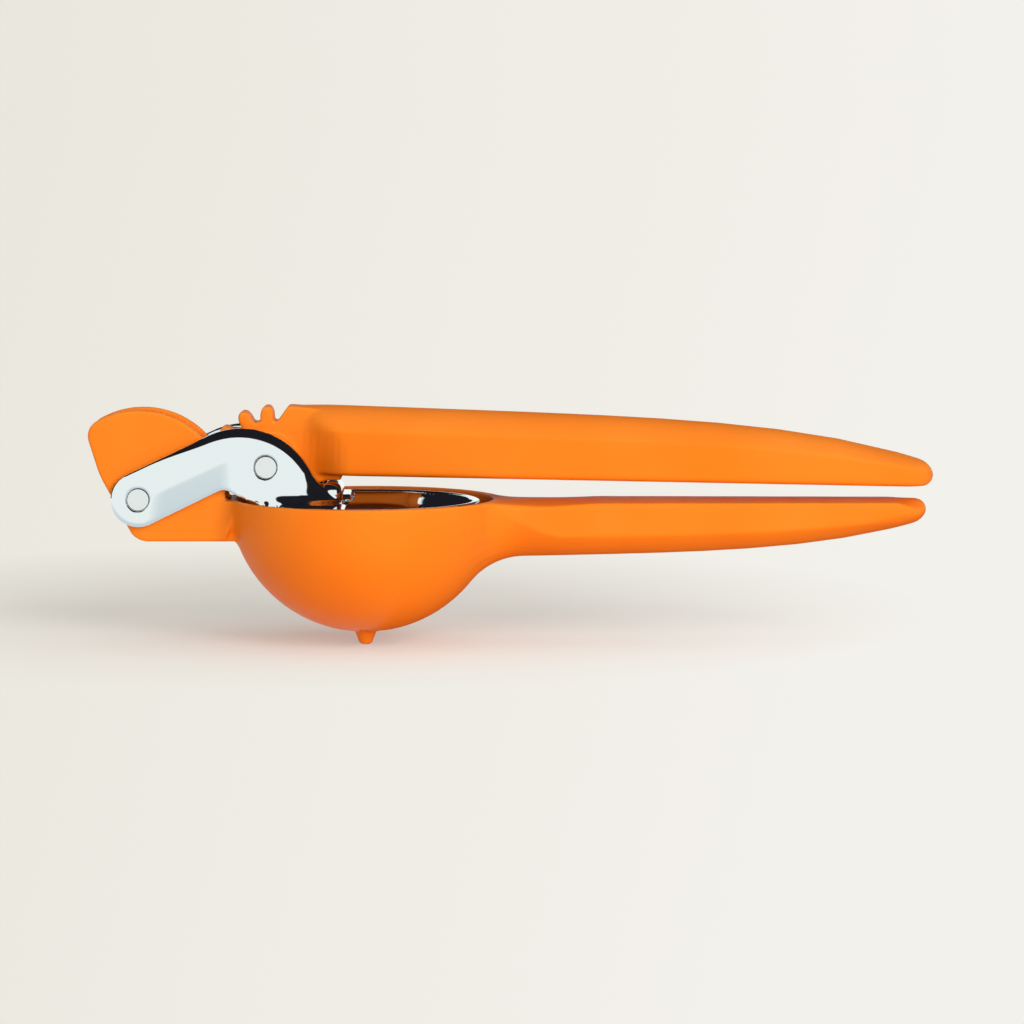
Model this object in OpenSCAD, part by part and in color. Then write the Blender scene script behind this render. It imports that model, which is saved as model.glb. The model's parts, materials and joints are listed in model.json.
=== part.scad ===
// Hinged lemon squeezer, geared: the upper handle's teeth roll on a toothed sector at the
// front of the bowl, and swing the chromed press cup down into the bowl.
// Frame: origin under the middle of the bowl at the tip of its drip nub, +X to the handles,
// +Z up, Y across. The squeezer is drawn closed.

/* [Bowl] */
// Outer radius of the bowl
bowl_r = 40.8; // [36:0.2:46]
// Wall of the bowl
bowl_wall = 2.4; // [1.8:0.1:3.2]
// How far the rim lies below the middle of the bowl's sphere
rim_drop = 0.6; // [0:0.1:2]
// How far the drip nub stands out under the bowl
nub_l = 4; // [2:0.5:7]
// Radius of the drip nub where it meets the bowl
nub_r = 3.5; // [2.5:0.1:4.5]
// Radius of the drip nub at its tip
nub_tip_r = 2.3; // [1.5:0.1:2.5]
// Number of drain slots round the nub
drain_count = 8; // [4:1:10]
// Width of a drain slot
drain_w = 2.2; // [1:0.2:2.6]
// Radius where the drain slots end
drain_out_r = 10.6; // [8:0.2:14]

/* [Handles] */
// Distance from the bowl's axis to the tip of the upper handle
handle_reach = 170.2; // [150:1:200]
// How much shorter the lower handle is than the upper one
lower_short = 2; // [0:0.5:8]
// Half width of the handles near the bowl
grip_hw = 13; // [11:0.5:15]
// How much the handles' half width narrows towards the tip
grip_narrow = 2.5; // [0:0.5:4]
// Thickness of the lower handle at its root
lower_t = 17.5; // [14:0.2:20]
// Rise of the lower handle's back along its length
lower_fall = 2.6; // [0:0.2:4]
// Further rise of its back towards the tip
lower_droop = 8.6; // [4:0.2:10]
// Height of the upper handle's back over the rear pin
upper_back = 17.8; // [15:0.2:20]
// Fall of the upper handle's back along its length
upper_fall = 6.6; // [4:0.2:8]
// Further fall of its back towards the tip
upper_droop = 11; // [6:0.2:12]
// Depth of the upper handle's flat face below the rear pin, over the bowl
upper_face = 2.6; // [1:0.1:3]
// Fall of that face along its length
face_fall = 3.7; // [1:0.1:4.2]
// Crown across the lower handle's face
lower_crown = 2; // [0.2:0.1:2.6]
// Radius of the hollow under the bowl where the lower handle joins it
root_fillet = 21; // [12:0.5:26]
// Radius of the hollow beside the bowl where the lower handle joins it
side_fillet = 14; // [8:0.5:18]

/* [Pivots and teeth] */
// Distance from the bowl's axis to the front pin
front_reach = 67; // [65:0.5:72]
// Slope of the line from the front pin up to the rear pin, in degrees
pin_slope = 14.2; // [12:0.2:16]
// Module of the teeth
gear_m = 2.24; // [2.1:0.02:2.3]
// Teeth that a full circle of the fixed sector would have
sector_teeth = 21; // [21:1:21]
// Teeth that a full circle of the handle's pinion would have
pinion_teeth = 14; // [14:1:14]
// Pressure angle
pressure = 20; // [20:1:25]
// Tooth height outside the pitch circle
addendum = 2; // [1.7:0.05:2.05]
// Tooth depth inside the pitch circle
dedendum = 2.5; // [2.4:0.05:2.7]
// Play between the teeth
backlash = 0.24; // [0.2:0.02:0.4]
// How much fuller the pinion's teeth are than the sector's
tooth_bias = 0.8; // [0:0.1:1]
// Angle by which the sector's tooth gap lies below the line of the pins
mesh_phase = -0.6; // [-2:0.05:3]
// Radius of the pins
pin_r = 2.7; // [2.2:0.05:3]
// Radial running clearance on the pins
pin_clear = 0.05; // [0.03:0.01:0.08]
// Radius of the pin heads
head_r = 3.15; // [3.1:0.05:3.6]
// Thickness of the pin heads
head_t = 1.2; // [0.8:0.1:1.6]
// Radial gap round a pin head in its counterbore
head_gap = 0.2; // [0.1:0.05:0.4]

/* [Neck] */
// Half width of the neck and its two cheeks
neck_hw = 9.3; // [8.5:0.1:10]
// Thickness of a cheek
cheek_t = 3.2; // [2.6:0.1:3.6]
// Radius of the cheeks round the front pin
cheek_r = 26.2; // [26:0.1:26.6]
// Depth of the neck below the front pin
neck_drop = 12.9; // [11:0.1:14]
// Thickness of a washer between an arm and its neighbour
washer_t = 0.5; // [0.3:0.05:0.8]
// Radius of a washer
washer_r = 6; // [5:0.1:7]

/* [Press] */
// Gap between the press cup and the bowl
rind_gap = 3.9; // [3:0.1:6]
// Wall of the press cup
cup_wall = 2.2; // [1.8:0.1:3]
// How far the cup's rim lies below the middle of the bowl's sphere
cup_drop = 1; // [0.5:0.1:3]
// Thickness of a side arm
arm_t = 3.5; // [3:0.1:4.5]
// Radius of an arm's end round the front pin
arm_end_r = 8.3; // [7.5:0.1:9]
// Radius of the bend that takes an arm over the rear pin
arm_bend_r = 23.5; // [22.5:0.1:24.5]

/* [Hidden] */
$fn = 64;

face_gap = 0.05;                                  // play beside a washer or an insert
tooth_side_gap = 0.5;                             // play between the pinion and a cheek
bowl_z = nub_l + bowl_r;                          // middle of the bowl's sphere
rim_z = bowl_z - rim_drop;
cup_z = bowl_z - cup_drop;
bowl_in_r = bowl_r - bowl_wall;
cup_r = bowl_in_r - rind_gap;
cup_in_r = cup_r - cup_wall;

sector_pr = gear_m*sector_teeth/2;
pinion_pr = gear_m*pinion_teeth/2;
front = [-front_reach, bowl_z];
rear = front + (sector_pr + pinion_pr)*[cos(pin_slope), sin(pin_slope)];
gap_y = neck_hw - cheek_t;                        // inner face of a cheek
tooth_hw = gap_y - tooth_side_gap;
arm_y = neck_hw + washer_t + 2*face_gap;          // inner face of an arm
arm_out = arm_y + arm_t;
pocket_r = pinion_pr + addendum + 0.6;            // room for the pinion to turn in the press
pocket_wall = 2.2;
hub_r = 9.5;
rib_z = rear[1] - upper_face - 1.9;               // foot of the rib under the handle's root
rib_gap = 0.3;                                    // play between that rib and the press
handle_step = [rear[0] + 6.3, rear[1] + upper_back];   // front corner of the upper handle

// ---- outlines ----

function arc(c, r, a0, a1, n) = [for (i = [0:n]) c + r*[cos(a0 + (a1 - a0)*i/n),
                                                        sin(a0 + (a1 - a0)*i/n)]];

function unit(v) = v/norm(v);

// One corner of an outline, rounded: p is the corner as [x, z, radius]
function corner(a, p, b, n = 8) =
    let (q = [p[0], p[1]], u = unit([a[0], a[1]] - q), v = unit([b[0], b[1]] - q),
         half = acos(u*v)/2, m = unit(u + v), c = q + m*p[2]/sin(half),
         s = q + u*p[2]/tan(half), e = q + v*p[2]/tan(half),
         a0 = atan2(s[1] - c[1], s[0] - c[0]), d = atan2(e[1] - c[1], e[0] - c[0]) - a0,
         turn = d > 180 ? d - 360 : d < -180 ? d + 360 : d)
    p[2] == 0 ? [q] : arc(c, p[2], a0, a0 + turn, n);

// ---- solids ----

module side_plate(y0, y1) {
    translate([0, y1, 0]) rotate([90, 0, 0]) linear_extrude(y1 - y0) children();
}

module cross_cylinder(c, r, y0, y1) {
    translate([c[0], y1, c[1]]) rotate([90, 0, 0]) cylinder(r = r, h = y1 - y0);
}

// A solid through a row of closed rings with the same number of points
module loft(rings) {
    n = len(rings[0]);
    last = (len(rings) - 1)*n;
    polyhedron(
        points = [for (ring = rings) each ring],
        faces = concat(
            [[for (j = [n - 1:-1:0]) j]],
            [for (i = [0:len(rings) - 2]) each [for (j = [0:n - 1]) each
                let (k = (j + 1)%n, a = i*n, b = a + n) [[a + j, a + k, b + k], [a + j, b + k, b + j]]]],
            [[for (j = [0:n - 1]) last + j]]));
}

// ---- teeth ----

function involute(a) = tan(a) - a*PI/180;

// Half the angle of a tooth at radius r, for a gear with n teeth
function tooth_half(r, n) = let (pr = gear_m*n/2, base = pr*cos(pressure), q = max(r, base),
    bias = n == pinion_teeth ? tooth_bias : -tooth_bias)
    90/n + (bias - backlash)/4/pr*180/PI + (involute(pressure) - involute(acos(base/q)))*180/PI;

// One tooth about the origin, pointing along angle a, from its left foot over its tip
function tooth(a, n) =
    let (pr = gear_m*n/2, foot = pr - dedendum, tip = pr + addendum, crest = tip - 0.55,
         flank = [for (i = [0:5]) foot + (crest - foot)*i/5])
    concat([for (r = flank) r*[cos(a - tooth_half(r, n)), sin(a - tooth_half(r, n))]],
           [for (k = [-0.6, 0, 0.6]) (tip - 0.1*abs(k))*[cos(a + k*tooth_half(tip, n)),
                                                          sin(a + k*tooth_half(tip, n))]],
           [for (i = [5:-1:0]) let (r = flank[i]) r*[cos(a + tooth_half(r, n)),
                                                     sin(a + tooth_half(r, n))]]);

// Teeth from number i0 to i1 about c, where tooth 0 points along angle a0
function teeth(c, n, a0, i0, i1) = [for (i = [i0:i1]) each concat(
    [for (p = tooth(a0 + i*360/n, n)) c + p],
    i == i1 ? [] : [c + (gear_m*n/2 - dedendum)*[cos(a0 + (i + 0.5)*360/n),
                                                 sin(a0 + (i + 0.5)*360/n)]])];

sector_a0 = pin_slope - mesh_phase + 180/sector_teeth;    // first tooth above the line of pins
pinion_a0 = pin_slope + 180 + mesh_phase*sector_teeth/pinion_teeth;
slot_a0 = sector_a0 - 1.6*360/sector_teeth;               // the slot between the cheeks
slot_a1 = sector_a0 + 5.6*360/sector_teeth;

// ---- grips ----

// One ring across a handle at x: hw half width, zi its face, zo its back, f where the side
// ends between them, bend the back's half angle, swell how far the face is crowned
function grip_ring(x, hw, zi, zo, f, bend, soft = 1.6, swell = 0, n = 14) =
    let (zr = zi + (zo - zi)*f, c = min(soft, abs(zr - zi)*0.45, hw*0.45), up = zo > zi ? 1 : -1,
         ze = zi + up*swell, flat = hw - c, m = 6)
    concat([for (i = [0:n]) let (a = bend - 2*bend*i/n)
                [x, hw*sin(a)/sin(bend), zr + (zo - zr)*(cos(a) - cos(bend))/(1 - cos(bend))]],
           [for (i = [0:3]) [x, -hw + c*(1 - cos(30*i)), ze + up*c*(1 - sin(30*i))]],
           [for (i = [1:m - 1]) let (t = 2*i/m - 1) [x, flat*t, zi + up*swell*t*t]],
           [for (i = [3:-1:0]) [x, hw - c*(1 - cos(30*i)), ze + up*c*(1 - sin(30*i))]]);

// 1 along a grip, and down to 0 as a quarter circle of radius r at its tip
function nose(x, end, r) = x < end - r ? 1 : sqrt(max(0.006, 1 - pow((x - end + r)/r, 2)));

function ease(t) = let (u = min(1, max(0, t))) u*u*(3 - 2*u);

function mix(a, b, t) = a + (b - a)*t;

function flipped(ring) = [for (i = [len(ring) - 1:-1:0]) ring[i]];

// Lower handle: its face is level with the rim, its back runs into the bowl in two hollows
lower_end = handle_reach - lower_short;
back_z = rim_z - lower_t;
root_x = sqrt(pow(bowl_r + root_fillet, 2) - pow(bowl_z - back_z + root_fillet, 2));
join_x = root_x*bowl_r/(bowl_r + root_fillet);
flare_x = sqrt(pow(bowl_r + side_fillet, 2) - pow(grip_hw + side_fillet, 2));
flare_join_x = flare_x*bowl_r/(bowl_r + side_fillet);

function lower_back(x) = let (t = max(0, x - root_x)/(lower_end - root_x))
    x < root_x ? back_z - root_fillet + sqrt(pow(root_fillet, 2) - pow(x - root_x, 2))
               : back_z + lower_fall*t + lower_droop*pow(t, 4);

function lower_hw(x) = x < flare_join_x ? sqrt(pow(bowl_r, 2) - x*x)
    : x < flare_x ? grip_hw + side_fillet - sqrt(pow(side_fillet, 2) - pow(x - flare_x, 2))
    : grip_hw - grip_narrow*(x - flare_x)/(lower_end - flare_x);

function lower_ring(x) =
    let (k = nose(x, lower_end, 3.6), e = ease((x - join_x)/(root_x + 12 - join_x)),
         mid = rim_z - 3.2)
    grip_ring(x, lower_hw(x)*nose(x, lower_end, 11), mix(mid, rim_z, k),
              mix(mid, lower_back(x), k), mix(0.06, 0.62, e), mix(88, 52, e), 1.6,
              lower_crown*e*k);

root_bite = 0.1;                                  // the first ring lies inside the bowl's wall
lower_stations = concat([for (i = [0:11]) mix(join_x - root_bite, root_x + 12, i/11)],
                        [for (i = [1:7]) mix(root_x + 12, lower_end - 11, i/7)],
                        [for (a = [12:12:84]) lower_end - 11 + 11*sin(a)], [lower_end - 0.01]);

// Upper handle: it is narrow between the arms and widens behind them, in a hollow round
// the rear pin
shoulder_r = 12.8;                                // where the hollow starts
shoulder_w = 12;                                  // how far it runs
shoulder_l = 10;                                  // how far the widening runs along the top
upper_x0 = rear[0] + 8.6;
upper_z = rear[1];

function upper_t(x) = max(0, x - rear[0] - 19)/(handle_reach - rear[0] - 19);

function upper_top(x) = upper_z + upper_back - upper_fall*upper_t(x)
    - upper_droop*pow(upper_t(x), 5);

function upper_bottom(x) = upper_z - upper_face - face_fall*upper_t(x);

function upper_hw(x) = grip_hw - grip_narrow*upper_t(x);

// Narrows a ring's point towards the pinion's width near the rear pin
function shoulder(p) = let (
    e = ease((norm([p[0], p[2]] - rear) - shoulder_r)/shoulder_w)
        *ease((p[0] - handle_step[0])/shoulder_l))
    [p[0], p[1]*mix(tooth_hw/upper_hw(p[0]), 1, e), p[2]];

function upper_ring(x) =
    let (k = nose(x, handle_reach, 3.8), mid = upper_bottom(x) + 3.2)
    [for (p = grip_ring(x, upper_hw(x)*nose(x, handle_reach, 11), mix(mid, upper_bottom(x), k),
                        mix(mid, upper_top(x), k), 0.66, 52)) shoulder(p)];

upper_stations = concat([for (i = [0:10]) mix(upper_x0, rear[0] + 28, i/10)],
                        [for (i = [1:9]) mix(rear[0] + 28, handle_reach - 11, i/9)],
                        [for (a = [12:12:84]) handle_reach - 11 + 11*sin(a)],
                        [handle_reach - 0.01]);

// ---- bowl body ----

// Neck and cheeks from the side
cheek_a1 = 120;                                   // the cheeks' round edge ends here
neck_z = front[1] - neck_drop;

function cheek_path() = let (top = front + cheek_r*[cos(cheek_a1), sin(cheek_a1)])
    concat(arc(front, cheek_r, -3, cheek_a1, 44),
           corner(top, [front[0] - 15.9, top[1] - 2.4, 5], [front[0] - 12.4, front[1] + 7.8]),
           corner([front[0] - 15.3, top[1] - 6], [front[0] - 11.4, front[1] + 6, 30],
                  [front[0] - 3.4, neck_z + 5]),
           corner([front[0] - 11.4, front[1] + 6], [front[0] - 1.2, neck_z, 6], [front[0] + 20, neck_z]),
           [[-bowl_in_r + 2, neck_z], [-bowl_in_r, rim_z - 1]]);

neck_fillet = 4;                                  // hollow under the neck at the bowl
neck_side = 8;                                    // hollow beside the neck at the bowl
neck_x = sqrt(pow(bowl_r + neck_fillet, 2) - pow(bowl_z - neck_z + neck_fillet, 2));
neck_flare_x = sqrt(pow(bowl_r + neck_side, 2) - pow(neck_hw + neck_side, 2));
neck_flare_join = neck_flare_x*bowl_r/(bowl_r + neck_side);
neck_join = neck_x*bowl_r/(bowl_r + neck_fillet);

function neck_hw_at(x) = x < neck_flare_join ? sqrt(pow(bowl_r, 2) - x*x)
    : x < neck_flare_x ? neck_hw + neck_side - sqrt(pow(neck_side, 2) - pow(x - neck_flare_x, 2))
    : neck_hw;

function neck_back(x) = x > neck_x ? neck_z
    : neck_z - neck_fillet + sqrt(max(0, pow(neck_fillet, 2) - pow(x - neck_x, 2)));

function neck_ring(x) = let (e = ease((x - neck_join)/neck_fillet))
    grip_ring(x, neck_hw_at(x), rim_z, neck_back(x), mix(0.06, 0.97, e), mix(86, 30, e), 0.4);

module neck_root() {
    mirror([1, 0, 0]) loft([for (i = [0:8]) neck_ring(mix(neck_join, neck_flare_x + 1, i/8))]);
}

module nub() {
    round_r = 1.4;
    rotate_extrude() polygon(concat(
        [[0, 0]], arc([nub_tip_r - round_r, round_r], round_r, -90, 0, 6),
        [[nub_r, nub_l + 0.6], [nub_r, nub_l + 3], [0, nub_l + 3]]));
}

module drain_slots() {
    inner = nub_r + 0.8;
    for (i = [0:drain_count - 1]) rotate(i*360/drain_count)
        translate([inner, -drain_w/2, 0]) cube([drain_out_r - inner, drain_w, bowl_z/2]);
}

// The slot between the cheeks that holds the toothed sector
module sector_slot(clear) {
    reach = cheek_r + 4;
    side_plate(-gap_y, gap_y) union() {
        polygon(concat([front], [for (i = [0:8])
            front + reach*[cos(mix(slot_a0, slot_a1, i/8)), sin(mix(slot_a0, slot_a1, i/8))]]));
        translate(front) circle(r = arm_end_r + clear);
    }
}

module bowl_body() {
    color("darkorange") difference() {
        union() {
            translate([0, 0, bowl_z]) sphere(r = bowl_r, $fn = 96);
            loft([for (x = lower_stations) lower_ring(x)]);
            side_plate(-neck_hw, neck_hw) polygon(cheek_path());
            neck_root();
            nub();
        }
        translate([0, 0, bowl_z]) sphere(r = bowl_in_r, $fn = 96);
        translate([-bowl_r - 0.6, -bowl_r - 1, rim_z]) cube([2*bowl_r + 4, 2*bowl_r + 2, bowl_r + 5]);
        intersection() {
            sector_slot(face_gap);
            cross_cylinder(front, cheek_r + 0.3, -neck_hw, neck_hw);
        }
        cross_cylinder(front, pin_r + pin_clear, -neck_hw - 1, neck_hw + 1);
        drain_slots();
    }
}

// ---- toothed sector ----

module sector_gear() {
    root_r = sector_pr - dedendum;
    color("orange") difference() {
        side_plate(-gap_y + face_gap, gap_y - face_gap) union() {
            polygon(concat([front],
                           [front + root_r*[cos(slot_a0 + 0.3), sin(slot_a0 + 0.3)]],
                           teeth(front, sector_teeth, sector_a0, -1, 5),
                           [front + root_r*[cos(slot_a1 - 0.3), sin(slot_a1 - 0.3)]]));
            translate(front) circle(r = arm_end_r);
        }
        cross_cylinder(front, pin_r + pin_clear, -neck_hw, neck_hw);
    }
}

// ---- press yoke ----

// A side arm: it rises from the front pin, bends over the rear pin and flares into the cup
arm_bend_c = rear - [7.4, 12];                    // middle of the bend
arm_bend_a = 24;                                  // the bend ends at this angle behind the pin
arm_foot = [rear[0] + 19.9, cup_z];               // where the arm's rear edge meets the cup
arm_flare = 1.5;                                  // radius of the flare there
arm_crest = rear[0] - 12.6;                       // the lower edge turns down here
arm_crest_r = 3.5;                                // radius of that turn
arm_heel = rear - [1, 12];                        // the turned edge runs towards this point
arm_root = [-2.5, 14];                            // reach inside the cup, from the rear pin
arm_sink = 8;                                     // depth of that part below the cup's rim
foot_t = 2.2;                                     // thickness of the foot's tip
foot_lap = 2;                                     // its lap onto the cup's shelf

function arm_path() =
    let (d = arm_bend_c - front,
         rise = atan2(d[1], d[0]) + asin((arm_bend_r - arm_end_r)/norm(d)),
         low = front + arm_end_r*[sin(rise), -cos(rise)], tip = arm_foot + [foot_lap, 0],
         bend = arc(arm_bend_c, arm_bend_r, arm_bend_a, rise + 90, 28))
    concat(arc(front, arm_end_r, rise + 90, rise + 270, 20),
           corner(low, [arm_crest, low[1] + (arm_crest - low[0])*tan(rise) + 0.3, arm_crest_r],
                  arm_heel),
           [[rear[0] + arm_root[0], cup_z - 1], [rear[0] + arm_root[0], cup_z - arm_sink],
            [rear[0] + arm_root[1], cup_z - arm_sink],
            arm_foot - [0, foot_t], tip - [0, foot_t], tip],
           corner(tip, concat(arm_foot, [arm_flare]), bend[0]), bend);

module counterbored(c) {
    cross_cylinder(c, pin_r + pin_clear, -arm_out - 1, arm_out + 1);
    for (s = [0, 1]) mirror([0, s, 0])
        cross_cylinder(c, head_r + head_gap, arm_out - head_t, arm_out + 1);
}

// The wing that joins an arm's foot to the side of the cup's rim
wing_t = 2.4;
wing_x = rear[0] + 3;                             // where it starts
wing_l = 21;                                      // its length at the rim
wing_root_l = 18;                                 // its length at the arm
foot_r = 5.5;                                     // hollow between an arm's face and its wing
foot_lean = 40;                                   // its slope where it meets the wing
foot_turn = 3;                                    // it comes out of the arm at this angle

module wing() {
    hull() {
        translate([wing_x, arm_out - 1.6, cup_z - wing_t]) cube([wing_root_l, 1.4, wing_t]);
        intersection() {
            translate([0, 0, bowl_z]) sphere(r = cup_r - 0.01, $fn = 72);
            translate([wing_x, arm_out + 3, cup_z - wing_t]) cube([wing_l, cup_r, wing_t]);
        }
    }
    foot_w = foot_r*(1 - cos(foot_lean));
    foot_h = foot_r*sin(foot_lean);
    intersection() {
        side_plate(arm_y + 0.5, arm_out + foot_r) polygon(arm_path());
        translate([wing_x - 2, arm_out - foot_w, cup_z]) rotate([0, 0, foot_turn])
            rotate([90, 0, 90]) linear_extrude(wing_l + 3) polygon(concat(
                [[-2, foot_h], [-2, -1], [foot_w, -1]],
                arc([foot_r, foot_h], foot_r, 180 + foot_lean, 180, 12)));
    }
}

// The pocket's back wall, a block up to the handle with barrel-shaped corners
wall_r = 7;                                       // radius of its upright corners
wall_soft = 2.6;                                  // rounding along its top
wall_x = [rear[0] + 13, rear[0] + 22.5];          // from inside the pocket to its back face
wall_sink = 5;                                    // depth of its foot below the cup's rim

module back_wall() {
    x0 = wall_x[0];
    xc = wall_x[1] - wall_r;
    half = arm_out - 0.6;
    low = cup_z - wall_sink;
    h = rib_z - rib_gap - low;
    edge = arc([wall_r - wall_soft, h - wall_soft], wall_soft, 0, 90, 8);
    translate([0, 0, low]) {
        for (s = [-1, 1]) translate([xc, s*(half - wall_r), 0])
            rotate_extrude() polygon(concat([[0, 0], [wall_r, 0]], edge, [[0, h]]));
        side_plate(wall_r - half, half - wall_r) translate([xc, 0]) polygon(concat(
            [[x0 - xc, 0], [wall_r, 0]], edge, [[x0 - xc, h]]));
        translate([x0, 0, 0]) rotate([90, 0, 90]) linear_extrude(xc - x0) union() {
            polygon(concat([[0, 0]], [[half, 0]], [for (q = edge) q + [half - wall_r, 0]], [[0, h]]));
            mirror([1, 0]) polygon(concat([[0, 0]], [[half, 0]],
                [for (q = edge) q + [half - wall_r, 0]], [[0, h]]));
        }
    }
}

// Cup and the pocket in its front that the pinion turns in
module cup() {
    difference() {
        union() {
            intersection() {
                translate([0, 0, bowl_z]) sphere(r = cup_r, $fn = 96);
                translate([-bowl_r, -bowl_r, 0]) cube([2*bowl_r, 2*bowl_r, cup_z]);
                union() {
                    difference() {
                        translate([0, 0, bowl_z]) sphere(r = bowl_r, $fn = 96);
                        translate([0, 0, bowl_z]) sphere(r = cup_in_r, $fn = 96);
                    }
                    cross_cylinder(rear, pocket_r + pocket_wall, -arm_out + 0.3, arm_out - 0.3);
                }
            }
            back_wall();
        }
        cross_cylinder(rear, pocket_r, -arm_y + 0.1, arm_y - 0.1);
    }
}

module press_yoke() {
    color("silver") difference() {
        union() {
            cup();
            for (s = [0, 1]) mirror([0, s, 0]) {
                side_plate(arm_y, arm_out) polygon(arm_path());
                wing();
            }
        }
        counterbored(front);
        counterbored(rear);
    }
}

// ---- upper handle ----

// Pinion, the web behind it and the rib under the handle's root, from the side
function pinion_path() =
    let (root_r = pinion_pr - dedendum, step = 360/pinion_teeth, a_end = pinion_a0 + 0.5*step)
    concat([handle_step],
           [rear + root_r*[cos(pinion_a0 - 4.5*step), sin(pinion_a0 - 4.5*step)]],
           teeth(rear, pinion_teeth, pinion_a0, -4, 0),
           [rear + root_r*[cos(a_end), sin(a_end)]],
           [rear + hub_r*[cos(a_end + 22), sin(a_end + 22)]],
           [rear + hub_r*[cos(285), sin(285)]],
           [[rear[0] + 18, rib_z], [rear[0] + 22, rib_z],
            [rear[0] + 22.6, upper_z], [rear[0] + 22.6, handle_step[1] - 1.5]]);

module upper_handle() {
    color("darkorange") difference() {
        union() {
            loft([for (x = upper_stations) flipped(upper_ring(x))]);
            side_plate(-tooth_hw, tooth_hw) polygon(pinion_path());
            cross_cylinder(rear, hub_r, -neck_hw, neck_hw);
        }
        cross_cylinder(rear, pin_r + pin_clear, -neck_hw - 1, neck_hw + 1);
    }
}

// ---- pins and washers ----

stud_r = 1.4;
stud_l = 8;

// The long half of a pivot: a barrel with a head in the right arm's counterbore
module pivot_pin(c) {
    color("silver") difference() {
        union() {
            cross_cylinder(c, pin_r, -arm_out + head_t, arm_out - head_t);
            cross_cylinder(c, head_r, -arm_out, -arm_out + head_t);
        }
        cross_cylinder(c, stud_r + 0.02, arm_out - head_t - stud_l, arm_out);
    }
}

// The short half: a head with a stud that screws into the barrel
module pin_cap(c) {
    color("silver") union() {
        cross_cylinder(c, head_r, arm_out - head_t, arm_out);
        cross_cylinder(c, stud_r, arm_out - head_t - stud_l + 0.5, arm_out - head_t + 0.2);
    }
}

module washer(c, side) {
    color("whitesmoke") mirror([0, side, 0]) difference() {
        cross_cylinder(c, washer_r, neck_hw + face_gap, neck_hw + face_gap + washer_t);
        cross_cylinder(c, pin_r + pin_clear, neck_hw, arm_y + 1);
    }
}

module front_pivot_pin() { pivot_pin(front); }
module front_pin_cap() { pin_cap(front); }
module rear_pivot_pin() { pivot_pin(rear); }
module rear_pin_cap() { pin_cap(rear); }
module front_washer_left() { washer(front, 0); }
module front_washer_right() { washer(front, 1); }
module rear_washer_left() { washer(rear, 0); }
module rear_washer_right() { washer(rear, 1); }

bowl_body();
sector_gear();
press_yoke();
upper_handle();
front_pivot_pin();
front_pin_cap();
rear_pivot_pin();
rear_pin_cap();
front_washer_left();
front_washer_right();
rear_washer_left();
rear_washer_right();
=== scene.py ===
"""Looks of a geared hand press for lemons: orange moulded nylon, a chromed press casting on
side arms, and steel pivots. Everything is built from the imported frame, in metres."""
import json
import math

import bpy
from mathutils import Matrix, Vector


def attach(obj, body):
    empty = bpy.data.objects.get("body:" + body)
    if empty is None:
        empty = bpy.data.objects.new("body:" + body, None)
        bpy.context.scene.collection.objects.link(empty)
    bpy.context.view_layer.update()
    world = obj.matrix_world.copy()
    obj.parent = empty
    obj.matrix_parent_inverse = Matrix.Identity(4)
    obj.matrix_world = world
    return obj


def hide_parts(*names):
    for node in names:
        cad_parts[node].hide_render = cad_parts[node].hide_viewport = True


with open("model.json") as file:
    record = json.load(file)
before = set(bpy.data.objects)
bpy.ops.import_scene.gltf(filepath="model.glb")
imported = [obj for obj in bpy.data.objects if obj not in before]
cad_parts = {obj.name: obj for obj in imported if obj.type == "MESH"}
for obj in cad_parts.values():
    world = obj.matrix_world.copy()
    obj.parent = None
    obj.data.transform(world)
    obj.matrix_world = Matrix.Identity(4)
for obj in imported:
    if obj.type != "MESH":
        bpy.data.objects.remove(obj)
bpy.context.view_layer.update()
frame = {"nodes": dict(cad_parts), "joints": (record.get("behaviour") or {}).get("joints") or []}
MM = 0.001


# ---- meshes ----

def remesh(piece, voxel):
    """Joins a piece's solids into one even skin."""
    voxels = piece.modifiers.new("voxels", "REMESH")
    voxels.mode = "VOXEL"
    voxels.voxel_size = voxel
    voxels.use_smooth_shade = True


def smooth(piece, passes):
    """Rounds a piece's edges a little more with each pass."""
    rounding = piece.modifiers.new("round", "SMOOTH")
    rounding.factor = 0.5
    rounding.iterations = passes


def move_points(piece, moved):
    """Puts each point of a piece at moved(point)."""
    for vertex in piece.data.vertices:
        vertex.co = moved(vertex.co)


def moulded(node, name, voxel, passes, keep, body, shape=None, true_up=None):
    """A node's own form with its edges rounded and its joins blended, as a moulding has them.
    shape moves the points before the rounding, and true_up moves them after it."""
    source = frame["nodes"][node]
    piece = bpy.data.objects.new(name, source.data.copy())
    bpy.context.scene.collection.objects.link(piece)
    weld = piece.modifiers.new("weld", "WELD")
    weld.merge_threshold = 0.002 * MM
    remesh(piece, voxel)
    if shape:
        apply_modifiers(piece)
        move_points(piece, shape)
        remesh(piece, voxel)
    smooth(piece, passes)
    thin = piece.modifiers.new("thin", "DECIMATE")
    thin.ratio = keep
    apply_modifiers(piece)
    if true_up:
        move_points(piece, true_up)
    piece.data.materials.clear()
    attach(piece, body)
    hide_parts(node)
    return piece


def apply_modifiers(piece):
    """Turns what a piece's modifiers make into its mesh, and shades it smooth."""
    graph = bpy.context.evaluated_depsgraph_get()
    mesh = bpy.data.meshes.new_from_object(piece.evaluated_get(graph))
    piece.modifiers.clear()
    piece.data = mesh
    mesh.shade_smooth()


# ---- materials ----

NOISE_SPAN = (0.3, 0.7)                            # the values that a noise mostly takes
# painted shade on faces that look down, painted light on faces that look up
SHADE_TINT_BELOW, LIGHT_TINT_ABOVE = (1.05, 0.8, 0.3), (0.98, 1.04, 5)
ORANGE_DARK = (0.77, 0.174, 0.002)
ORANGE_LIGHT = (0.81, 0.207, 0.004)


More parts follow.
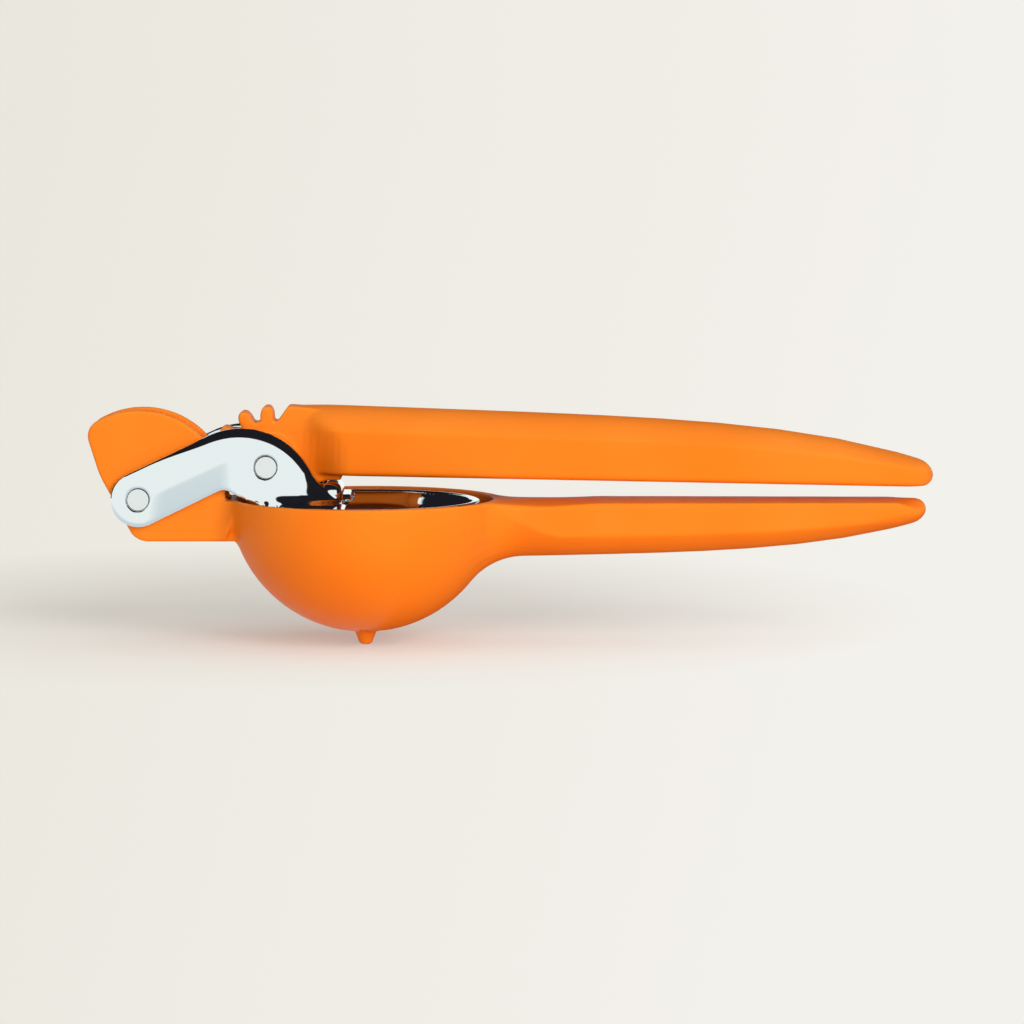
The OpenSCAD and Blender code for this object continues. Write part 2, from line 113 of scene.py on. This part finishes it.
def new_material(name, colour, roughness, metallic=0.0):
    """A Principled material, with the node tree and the shader to build on."""
    material = bpy.data.materials.new(name)
    material.use_nodes = True
    tree = material.node_tree
    shader = tree.nodes["Principled BSDF"]
    shader.inputs["Base Color"].default_value = (*colour, 1)
    shader.inputs["Roughness"].default_value = roughness
    shader.inputs["Metallic"].default_value = metallic
    return material, tree, shader


def object_place(tree):
    """The shaded point's place in the object's own space."""
    return tree.nodes.new("ShaderNodeTexCoord").outputs["Object"]


def noise(tree, scale, detail=3.0):
    """A noise texture in object space, scale in cycles per metre."""
    texture = tree.nodes.new("ShaderNodeTexNoise")
    texture.inputs["Scale"].default_value = scale
    texture.inputs["Detail"].default_value = detail
    tree.links.new(object_place(tree), texture.inputs["Vector"])
    return texture.outputs["Fac"]


def map_range(tree, value, from_low, from_high, to_low=0.0, to_high=1.0):
    """Maps a value from one range to another and holds it at the ends."""
    scale = tree.nodes.new("ShaderNodeMapRange")
    scale.inputs["From Min"].default_value = from_low
    scale.inputs["From Max"].default_value = from_high
    scale.inputs["To Min"].default_value = to_low
    scale.inputs["To Max"].default_value = to_high
    tree.links.new(value, scale.inputs["Value"])
    return scale.outputs["Result"]


def spread(tree, value, low, high):
    """Maps the values that a noise mostly takes to low to high."""
    return map_range(tree, value, *NOISE_SPAN, low, high)


def xyz(tree, vector):
    """The three parts of a vector."""
    split = tree.nodes.new("ShaderNodeSeparateXYZ")
    tree.links.new(vector, split.inputs["Vector"])
    return (split.outputs[axis] for axis in "XYZ")


def calculate(tree, operation, first, second):
    """The result of a sum on two values, which are numbers or sockets."""
    node = tree.nodes.new("ShaderNodeMath")
    node.operation = operation
    for socket, value in zip(node.inputs, (first, second)):
        if isinstance(value, (int, float)):
            socket.default_value = value
        else:
            tree.links.new(value, socket)
    return node.outputs["Value"]


def mix_colours(tree, factor, first, second, blend="MIX"):
    """A mix of two colours, each of them three numbers or a socket."""
    mix = tree.nodes.new("ShaderNodeMix")
    mix.data_type = "RGBA"
    mix.blend_type = blend
    for socket, value in (("Factor", factor), ("A", first), ("B", second)):
        if isinstance(value, tuple):
            mix.inputs[socket].default_value = (*value, 1)
        elif isinstance(value, (int, float)):
            mix.inputs[socket].default_value = value
        else:
            tree.links.new(value, mix.inputs[socket])
    return mix.outputs["Result"]


def fade_colours(tree, value, low, low_colour, high, high_colour):
    """One colour where value is below low, and another where it is above high."""
    tones = tree.nodes.new("ShaderNodeValToRGB")
    for stop, place, colour in zip(tones.color_ramp.elements, (low, high),
                                   (low_colour, high_colour)):
        stop.position = place
        stop.color = (*colour, 1)
    tree.links.new(value, tones.inputs["Fac"])
    return tones.outputs["Color"]


def add_bump(tree, shader, height, distance, strength):
    """Raises the surface by height times distance."""
    bump = tree.nodes.new("ShaderNodeBump")
    bump.inputs["Distance"].default_value = distance
    bump.inputs["Strength"].default_value = strength
    tree.links.new(height, bump.inputs["Height"])
    tree.links.new(bump.outputs["Normal"], shader.inputs["Normal"])


def two_tone(tree, value, dark, light):
    """A colour between dark and light by a noise value."""
    return fade_colours(tree, value, NOISE_SPAN[0], dark, NOISE_SPAN[1], light)


def paint_facing_shade(tree, colour):
    """A colour with painted shade and painted light: redder and darker on faces that look down,
    lighter and yellower on faces that look up.
    """
    _, _, normal_z = xyz(tree, tree.nodes.new("ShaderNodeNewGeometry").outputs["Normal"])
    facing_shade_tint = mix_colours(tree, map_range(tree, normal_z, -0.8, 0.4), SHADE_TINT_BELOW, LIGHT_TINT_ABOVE)
    return mix_colours(tree, 1, colour, facing_shade_tint, "MULTIPLY")


def nylon(name, dark, light, roughness, grain=2600, painted_shade=False):
    """Moulded nylon: fine spark-eroded grain, slow colour drift, soft sheen, and if asked,
    painted shade on faces that look down and painted light on faces that look up.
    """
    material, tree, shader = new_material(name, light, roughness)
    shader.inputs["IOR"].default_value = 1.5
    shader.inputs["Specular IOR Level"].default_value = 0.2
    colour = two_tone(tree, noise(tree, 24, 2), dark, light)
    # painted shade below and painted light above, by which way a face looks
    if painted_shade:
        colour = paint_facing_shade(tree, colour)
        shader.inputs["Specular IOR Level"].default_value = 0.1
    tree.links.new(colour, shader.inputs["Base Color"])
    tree.links.new(spread(tree, noise(tree, 140), roughness - 0.04, roughness + 0.05),
                   shader.inputs["Roughness"])
    add_bump(tree, shader, noise(tree, grain, 2), 0.02 * MM, 0.35)
    return material


def chrome(name):
    """Polished chrome plate with the slow ripple of a polished casting and faint smears."""
    material, tree, shader = new_material(name, (0.83, 0.86, 0.87), 0.04, 1)
    tree.links.new(spread(tree, noise(tree, 60, 4), 0.025, 0.07), shader.inputs["Roughness"])
    add_bump(tree, shader, noise(tree, 45, 1), 0.12 * MM, 0.12)
    return material


def turned_steel(name, axis_x, axis_z):
    """Pin ends faced on a lathe: rings about the pin's axis."""
    material, tree, shader = new_material(name, (0.8, 0.815, 0.81), 0.18, 1)
    mapping = tree.nodes.new("ShaderNodeMapping")
    mapping.inputs["Location"].default_value = (-axis_x, 0, -axis_z)
    rings = tree.nodes.new("ShaderNodeTexWave")
    rings.wave_type = "RINGS"
    rings.rings_direction = "Y"
    rings.inputs["Scale"].default_value = 900
    rings.inputs["Distortion"].default_value = 0.6
    tree.links.new(object_place(tree), mapping.inputs["Vector"])
    tree.links.new(mapping.outputs["Vector"], rings.inputs["Vector"])
    add_bump(tree, shader, rings.outputs["Fac"], 0.004 * MM, 0.12)
    tree.links.new(spread(tree, noise(tree, 700), 0.15, 0.22), shader.inputs["Roughness"])
    return material


def paint(node, material):
    """Gives a CAD node that shows as it is a better material."""
    for place in frame["nodes"][node].material_slots:
        place.material = material


# ---- the squeezer ----

pivots = {joint["name"]: Vector(joint["pos_m"]) for joint in frame["joints"]}
FRONT, REAR = pivots["press_pivot"], pivots["handle_pivot"]
BOWL_Z = 44.8 * MM                                 # middle of the bowl's sphere

ARM_OUT = 13.4 * MM                                # outer face of a side arm
ARM_CORE = 10.2 * MM                               # nearer the middle nothing of an arm moves
ARM_END_R = 8.3 * MM                               # its end round the front pin
ARM_RISE = math.radians(25.2)                      # slope of its straight lower edge
BEND = (REAR.x - 7.4 * MM, REAR.z - 12 * MM, 23.5 * MM)   # middle and radius of its bend
BEND_END = math.radians(24)                        # the bend runs to this angle behind the pin
CUT_NARROW, CUT_MORE = 0.7 * MM, 1.9 * MM          # its face is rounded off this wide in front,
CUT_LOW = 5.2 * MM                                 # more over the bend, and still more lower down
CUT_SLOPE, CUT_DEEPEST = 0.55, 3 * MM
FACET_W, FACET_SLOPE = 7.6 * MM, 0.13              # the slight facet along its lower edge

CUP_Z = 43.8 * MM                                  # top of the cup's rim and of the arms' wings
CUP_OUT_R, CUP_IN_R = 34.5 * MM, 32.3 * MM
CUP_BAND = 1.1 * MM                                # how much the band below its rim stands in
ON_SPHERE = 0.12 * MM                              # a point nearer than this lies on a sphere

FOOT = (REAR.x + 19.9 * MM, CUP_Z)                 # tip of an arm
FLARE_R, FLARE_LEAN = 4 * MM, math.radians(38)     # the hollow at its foot and how far it turns
LEAN_TOP, LEAN_SLOPE = 49 * MM, 0.11               # an arm leans out below this height
WALL_CORNER = (REAR.x + 15.5 * MM, 5.8 * MM)       # middle of an upright corner of the back wall
WALL_R = 7.15 * MM                                 # just outside that corner's radius
WALL_SHARE, WALL_POWER = 0.657, 5                  # its width then, and how square it gets

GRIP_HALF, GRIP_NARROW = 13 * MM, 2.5 * MM         # half width of the lower handle, and its taper
GRIP_START, GRIP_L = 50 * MM, 118 * MM
GRIP_CROWN = 2 * MM                                # how far its face's edges lie below the middle


def ramp(value, low, high):
    """0 below low, 1 above high, and smooth between them."""
    t = min(1, max(0, (value - low) / (high - low)))
    return t * t * (3 - 2 * t)


def arm_top_depth(x, z):
    """How far a point of an arm lies below its top edge: an end arc, a tangent, a bend and a
    straight run down to the foot."""
    span = Vector((BEND[0] - FRONT.x, BEND[1] - FRONT.z))
    rise = math.atan2(span.y, span.x) + math.asin((BEND[2] - ARM_END_R) / span.length)
    along = Vector((math.cos(rise), math.sin(rise)))
    up = Vector((-math.sin(rise), math.cos(rise)))
    here, bend = Vector((x - FRONT.x, z - FRONT.z)), Vector((x - BEND[0], z - BEND[1]))
    last = BEND[2] * Vector((math.cos(BEND_END), math.sin(BEND_END)))
    down = (Vector((FOOT[0] - BEND[0], FOOT[1] - BEND[1])) - last).normalized()
    if here.dot(along) < 0:
        return ARM_END_R - here.length
    if (bend - last).dot(down) > 0:
        return (last - bend).dot(Vector((-down.y, down.x)))
    if bend.dot(along) > 0:
        return BEND[2] - bend.length
    return ARM_END_R - here.dot(up)


def arm_low_depth(x, z):
    """How far a point of an arm lies above its straight lower edge."""
    here = Vector((x - FRONT.x, z - FRONT.z))
    return ARM_END_R + here.dot(Vector((-math.sin(ARM_RISE), math.cos(ARM_RISE))))


def arm_cut(x, z):
    """How deep an arm's outer face is rounded off: broadly along the top, and in a slight
    facet below."""
    wide = CUT_NARROW + CUT_MORE * ramp(x, -64 * MM, -42 * MM)
    if x > REAR.x:
        low = 1 - ramp(z, 42 * MM, 53 * MM)
        wide += CUT_LOW * low * ramp(x, REAR.x, REAR.x + 9 * MM)
    inward = min(1, max(0, arm_top_depth(x, z)) / wide)
    cut = min(CUT_SLOPE * wide, CUT_DEEPEST) * (1 - inward) ** 1.35
    facet = FACET_SLOPE * max(0, FACET_W - arm_low_depth(x, z))
    if x < REAR.x - 8 * MM:
        along = ramp(x, -66 * MM, -58 * MM) * (1 - ramp(x, REAR.x - 14 * MM, REAR.x - 8 * MM))
        cut = max(cut, facet * along)
    return cut


def foot_flare(x, z):
    """How far an arm's outer face flares and leans out towards the cup's rim."""
    lean = math.sin(FLARE_LEAN) - max(0, z - CUP_Z) / FLARE_R
    hollow = FLARE_R * (1 - math.sqrt(1 - min(1, max(0, lean)) ** 2))
    low = max(0, LEAN_TOP - z)
    lean_out = LEAN_SLOPE * low * low / (low + 1.5 * MM)
    return (hollow * ramp(x, REAR.x + 1 * MM, REAR.x + 5 * MM)
            + lean_out * ramp(x, REAR.x - 10 * MM, REAR.x - 5 * MM))


def wall_side(x, out):
    """Squares up the back wall's upright corner, which is round in the CAD."""
    along, across = max(0, x - WALL_CORNER[0]), out - WALL_CORNER[1]
    turn = min(0.995, along / max(1e-6, math.hypot(along, across)))
    squarer = (1 - turn ** WALL_POWER) ** (1 / WALL_POWER) / math.sqrt(1 - turn ** 2)
    return WALL_CORNER[1] + across * WALL_SHARE * squarer


def wing_top(x, z, out, face):
    """Puts a point of the wing's top beside an arm on the arm's moved face, or past it, and
    lets the wing's front end fall away."""
    edge = ARM_OUT + 1.5 * MM
    if out < edge:
        out = face + (edge - face) * max(0, out - ARM_OUT) / (edge - ARM_OUT)
    at_front = 1 - ramp(x, REAR.x + 3 * MM, REAR.x + 6 * MM)
    return out, z - 2 * MM * at_front * ramp(out, ARM_OUT, ARM_OUT + 0.8 * MM)


def cast_form(point):
    """Rounds the arms off, flares their feet and makes the back wall's corners squarer."""
    x, y, z = point
    out, height = abs(y), z - CUP_Z
    wing_bottom = -2.5 * MM if x < REAR.x + 6.5 * MM else -0.2 * MM
    if x > -4 * MM or x > REAR.x and height < wing_bottom:
        return point
    if arm_top_depth(x, z) < -0.3 * MM and x > -17 * MM:
        from_corner = math.hypot(max(0, x - WALL_CORNER[0]), out - WALL_CORNER[1])
        if out > WALL_CORNER[1] and (height > 0.2 * MM or from_corner < WALL_R):
            out = wall_side(x, out)
    elif out > ARM_CORE:
        cut = arm_cut(x, z)
        face = ARM_OUT - cut
        if x > REAR.x - 10 * MM:
            face += foot_flare(x, z) * (1 - 0.5 * min(1, cut / (2 * MM)))
        if x < REAR.x or height > 0.2 * MM:
            out = face if out > ARM_OUT - 0.3 * MM else min(out, face)
        elif height > -0.2 * MM:
            out, z = wing_top(x, z, out, face)
        elif ARM_OUT - 0.3 * MM < out < ARM_OUT + 0.1 * MM:
            out = face
    return Vector((x, math.copysign(out, y), z))


def true_cup(point):
    """Puts the points of the cup's two faces on even forms: a sphere outside, and inside
    a sphere with a steeper band below the rim."""
    centre = Vector((0, 0, BOWL_Z))
    far = (point - centre).length
    if abs(far - CUP_OUT_R) < ON_SPHERE:
        return centre + (point - centre) * (CUP_OUT_R / far)
    if abs(far - CUP_IN_R) < ON_SPHERE:
        below = max(0, BOWL_Z - point.z)
        band = ramp(below, 0.2 * MM, 7 * MM) * (1 - ramp(below, 9 * MM, 22 * MM))
        return centre + (point - centre) * ((CUP_IN_R - CUP_BAND * band) / far)
    return point


def flat_face(point):
    """Lifts the long edges of the lower handle's crowned face level with its middle."""
    x, y, z = point
    along = ramp(x, 42 * MM, 72 * MM) * (1 - ramp(x, 158 * MM, 166 * MM))
    half = GRIP_HALF - GRIP_NARROW * (x - GRIP_START) / GRIP_L
    edge = min(1, (y / half) ** 2)
    return Vector((x, y, z + GRIP_CROWN * edge * along * ramp(z, 37 * MM, 41 * MM)))


bowl = moulded("bowl_body", "bowl_moulding", 0.45 * MM, 8, 0.3, "base",
               true_up=flat_face)
bowl.data.materials.append(nylon("bowl_nylon", ORANGE_DARK, ORANGE_LIGHT, 0.42, painted_shade=True))

handle = moulded("upper_handle", "handle_moulding", 0.42 * MM, 16, 0.3, "handle")
handle.data.materials.append(nylon("handle_nylon", ORANGE_DARK, ORANGE_LIGHT, 0.44,
                                   painted_shade=True))

sector = moulded("sector_gear", "sector_teeth", 0.3 * MM, 4, 0.4, "base")
sector_nylon = nylon("sector_nylon", ORANGE_DARK, ORANGE_LIGHT, 0.2, 1200, painted_shade=True)
sector_nylon.node_tree.nodes["Principled BSDF"].inputs["Coat Weight"].default_value = 0.6
sector.data.materials.append(sector_nylon)

yoke = moulded("press_yoke", "press_casting", 0.36 * MM, 12, 0.4, "press",
               cast_form, true_cup)
yoke.data.materials.append(chrome("chrome_plate"))

for place, joint in (("front", "press_pivot"), ("rear", "handle_pivot")):
    steel = turned_steel(place + "_steel", pivots[joint].x, pivots[joint].z)
    paint(place + "_pivot_pin", steel)
    paint(place + "_pin_cap", steel)

washer_plastic = nylon("washer_plastic", (0.72, 0.72, 0.69), (0.8, 0.8, 0.77), 0.3, 1500)
for place in ("front", "rear"):
    for side in ("left", "right"):
        paint(place + "_washer_" + side, washer_plastic)


# ---- stage ----

PAPER = (0.880, 0.864, 0.811)                      # the floor's paper
LIT = 0.985                                        # share of it that suits the lamps' level
BACKDROP_SHADED_LEFT = (0.823, 0.799, 0.73)                  # painted shade: the backdrop at its left side, darker than at its right
BACKDROP_LIT_RIGHT = (0.896, 0.88, 0.831)
PAPER_SPAN = 0.12                                  # from its middle to a side, over the distance
CAMERA_Y = -1.244
SHADOW = (-0.02, 0.095, 0)                         # middle of the lit floor, behind the bowl
SHADOW_NEAR, SHADOW_FAR = 0.07, 0.2                # the lit floor fades out between these
SHADOW_SHARE = 0.24                                # share of even backdrop in its middle
STUDIO = (0.95, 1.0, 0.985)                        # the backdrop in reflections
DUSK = (0.012, 0.012, 0.016)                       # the unlit room in reflections
UNDER = (0.66, 0.75, 0.78)                         # the floor right below, in reflections
DUSK_LOW, DUSK_HIGH = 0.17, 0.22                   # the room is dark above this height
WALL_RIGHT, WALL_LEFT, WALL_BACK = 0.35, -0.3, 0.5   # and beyond these at the sides
DARK_ASIDE = (0.52, 0.57)                          # in the painted reflection the floor is dark this far to the right


def shaded_backdrop_colour(tree, x, ahead):
    """The backdrop's colour by how far a place lies aside, as a share of how far ahead: painted
    shade, darker to the left and lighter to the right.
    """
    share = calculate(tree, "DIVIDE", x, ahead)
    place = map_range(tree, share, -PAPER_SPAN, PAPER_SPAN)
    return mix_colours(tree, place, BACKDROP_SHADED_LEFT, BACKDROP_LIT_RIGHT)


def distance_from(tree, place, centre):
    """How far a place lies from a fixed point."""
    far = tree.nodes.new("ShaderNodeVectorMath")
    far.operation = "DISTANCE"
    far.inputs[1].default_value = centre
    tree.links.new(place, far.inputs[0])
    return far.outputs["Value"]


def mix_shaders(tree, factor, first, second):
    mix = tree.nodes.new("ShaderNodeMixShader")
    for socket, link in zip(mix.inputs, (factor, first, second)):
        tree.links.new(link, socket)
    return mix.outputs["Shader"]


def glow(tree, kind, colour):
    """A shader that shows a colour as it is, in a material or in the world."""
    shader = tree.nodes.new(kind)
    tree.links.new(colour, shader.inputs["Color"])
    return shader.outputs[0]


def make_floor():
    """A pale floor: lit paper behind the bowl, which fades further off to a glowing backdrop with
    painted shade to the left, and in reflections a painted reflection of a plain floor that is
    dark at the right."""
    bpy.ops.mesh.primitive_plane_add(size=60)
    paper = bpy.context.active_object
    paper.name = "floor"
    material, tree, shader = new_material("paper", [LIT * share for share in PAPER], 0.9)
    shader.inputs["Specular IOR Level"].default_value = 0.1
    place = object_place(tree)
    x, y, _ = xyz(tree, place)
    ahead = calculate(tree, "SUBTRACT", y, CAMERA_Y)
    even = glow(tree, "ShaderNodeEmission", shaded_backdrop_colour(tree, x, ahead))
    fade = map_range(tree, distance_from(tree, place, SHADOW), SHADOW_NEAR, SHADOW_FAR,
                     SHADOW_SHARE)
    seen = mix_shaders(tree, fade, shader.outputs["BSDF"], even)
    # painted reflection: what the floor shows to glossy rays, near, far and dark at the right
    far = distance_from(tree, place, (0, 0, 0))
    aside = map_range(tree, calculate(tree, "DIVIDE", x, far), *DARK_ASIDE)
    mirrored = mix_colours(tree, aside, fade_colours(tree, far, 0.12, UNDER, 0.3, STUDIO), DUSK)
    glossy = tree.nodes.new("ShaderNodeLightPath").outputs["Is Glossy Ray"]
    surface = mix_shaders(tree, glossy, seen, glow(tree, "ShaderNodeEmission", mirrored))
    tree.links.new(surface, tree.nodes["Material Output"].inputs["Surface"])
    paper.data.materials.append(material)


def make_world():
    """The same pale backdrop to the camera, soft fill to the object, and in reflections
    pale walls under a dark ceiling, with dark corners at the right and far left."""
    world = bpy.data.worlds.new("studio")
    bpy.context.scene.world = world
    world.use_nodes = True
    tree = world.node_tree
    tree.nodes.clear()
    path = tree.nodes.new("ShaderNodeLightPath")
    x, y, z = xyz(tree, tree.nodes.new("ShaderNodeTexCoord").outputs["Generated"])
    leftward = calculate(tree, "MULTIPLY", calculate(tree, "MINIMUM", x, 0), 0.9)
    ceiling = calculate(tree, "ADD", z, leftward)
    right = calculate(tree, "SUBTRACT", x, WALL_RIGHT)
    left_back = calculate(tree, "MINIMUM", calculate(tree, "SUBTRACT", WALL_LEFT, x),
                          calculate(tree, "ADD", y, WALL_BACK))
    walls = calculate(tree, "MAXIMUM", right, left_back)
    darkness = calculate(tree, "MAXIMUM", ceiling, walls)
    mirrored = fade_colours(tree, darkness, DUSK_LOW, STUDIO, DUSK_HIGH, DUSK)
    fill = tree.nodes.new("ShaderNodeBackground")
    fill.inputs["Color"].default_value = (1.0, 0.975, 0.94, 1)
    fill.inputs["Strength"].default_value = 0.5
    lit = mix_shaders(tree, path.outputs["Is Glossy Ray"], fill.outputs["Background"],
                      glow(tree, "ShaderNodeBackground", mirrored))
    backdrop = glow(tree, "ShaderNodeBackground", shaded_backdrop_colour(tree, x, y))
    surface = mix_shaders(tree, path.outputs["Is Camera Ray"], lit, backdrop)
    out = tree.nodes.new("ShaderNodeOutputWorld")
    tree.links.new(surface, out.inputs["Surface"])


def area_light(name, place, aim, size, power):
    """A square softbox at place, turned to aim, which doesn't show in reflections."""
    lamp = bpy.data.lights.new(name, "AREA")
    lamp.shape = "SQUARE"
    lamp.size = size
    lamp.energy = power
    light = bpy.data.objects.new(name, lamp)
    light.location = place
    light.rotation_euler = (Vector(aim) - Vector(place)).to_track_quat("-Z", "Y").to_euler()
    light.visible_glossy = False
    bpy.context.scene.collection.objects.link(light)


def make_camera():
    """The photo's view: a little above the horizon, straight at the side, long lens."""
    aim = Vector((0.044, 0, 0.0399))
    distance, view_width, height = 1.25, 0.3072, math.radians(5.5)
    data = bpy.data.cameras.new("photo_camera")
    data.sensor_width = 36
    data.lens = data.sensor_width * distance / view_width
    camera = bpy.data.objects.new("photo_camera", data)
    camera.location = aim + distance * Vector((0, -math.cos(height), math.sin(height)))
    camera.rotation_euler = (aim - camera.location).to_track_quat("-Z", "Y").to_euler()
    bpy.context.scene.collection.objects.link(camera)
    bpy.context.scene.camera = camera


make_floor()
make_world()
area_light("top_softbox", (0.5, -0.2, 2.4), (0.1, 0.1, 0), 2.4, 8.6)
area_light("front_softbox", (0.9, -1.6, 0.8), (0.03, 0, 0.03), 1.0, 24.5)
area_light("low_fill", (0.3, -1.6, 0.22), (0.03, 0, 0.03), 0.4, 7.6)
make_camera()
bpy.context.scene.view_settings.view_transform = "Standard"
